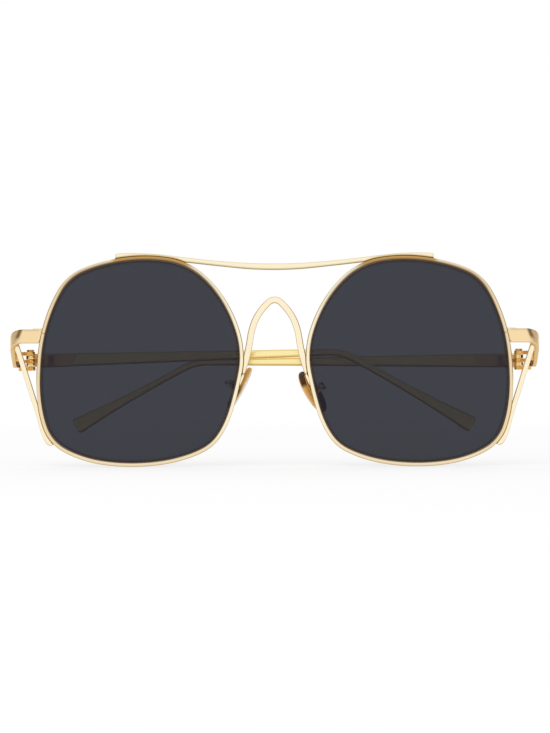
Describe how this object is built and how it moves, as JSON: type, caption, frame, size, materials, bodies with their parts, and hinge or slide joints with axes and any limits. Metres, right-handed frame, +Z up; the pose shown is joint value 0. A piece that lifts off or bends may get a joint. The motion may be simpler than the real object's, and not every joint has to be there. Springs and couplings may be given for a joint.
{
  "type": "oversized sunglasses",
  "caption": "Oversized metal-frame sunglasses with dark rounded lenses, a brow bar over an arched bridge, hinged temples that fold behind the front and rocking nose pads.",
  "frame": {"origin": "midway between the two lenses at the level of their middles, on the middle plane of the rims", "axes": "as worn: +X to the wearer's left, +Y back towards the face, +Z up; the front faces -Y"},
  "size_m": [0.1498, 0.0184, 0.0603],
  "materials": {
    "gold_metal": "polished pale gold plating",
    "lens_tint": "even dark grey tint, polished",
    "pad_silicone": "clear moulded silicone, satin",
    "screw_metal": "turned gold screw, slotted"
  },
  "bodies": {
    "front": {"brow_bar": "gold_metal", "bridge": "gold_metal", "left_rim": "gold_metal", "left_lens": "lens_tint", "left_end_piece": "gold_metal", "left_side_strut": "gold_metal", "left_rim_lock_upper": "gold_metal", "left_rim_lock_lower": "gold_metal", "left_rim_lock_screw": "screw_metal", "left_hinge_front_leaf": "gold_metal", "left_hinge_screw": "screw_metal", "left_pad_arm": "gold_metal", "left_pad_box": "gold_metal", "left_pad_screw": "screw_metal", "right_rim": "gold_metal", "right_lens": "lens_tint", "right_end_piece": "gold_metal", "right_side_strut": "gold_metal", "right_rim_lock_upper": "gold_metal", "right_rim_lock_lower": "gold_metal", "right_rim_lock_screw": "screw_metal", "right_hinge_front_leaf": "gold_metal", "right_hinge_screw": "screw_metal", "right_pad_arm": "gold_metal", "right_pad_box": "gold_metal", "right_pad_screw": "screw_metal"},
    "left_temple": {"left_temple": "gold_metal", "left_hinge_temple_leaf": "gold_metal"},
    "left_pad": {"left_nose_pad": "pad_silicone", "left_pad_core": "gold_metal"},
    "right_temple": {"right_temple": "gold_metal", "right_hinge_temple_leaf": "gold_metal"},
    "right_pad": {"right_nose_pad": "pad_silicone", "right_pad_core": "gold_metal"}
  },
  "joints": [
    {"name": "left_temple_fold", "type": "hinge", "parent": "front", "child": "left_temple", "pos_m": [0.0699, 0.0095, 0.00015], "axis": [0.0035, 0, -1], "range_deg": [0, 89.5]},
    {"name": "right_temple_fold", "type": "hinge", "parent": "front", "child": "right_temple", "pos_m": [-0.0699, 0.0095, 0.00015], "axis": [-0.027, 0, 0.9996], "range_deg": [0, 91.5]},
    {"name": "left_pad_rock", "type": "hinge", "parent": "front", "child": "left_pad", "pos_m": [0.01238, 0.00619, -0.00782], "axis": [0.4024, 0.8829, 0.2418], "range_deg": [-6, 6]},
    {"name": "right_pad_rock", "type": "hinge", "parent": "front", "child": "right_pad", "pos_m": [-0.01184, 0.00701, -0.00669], "axis": [-0.077, 0.9962, 0.0409], "range_deg": [-6, 6]}
  ]
}
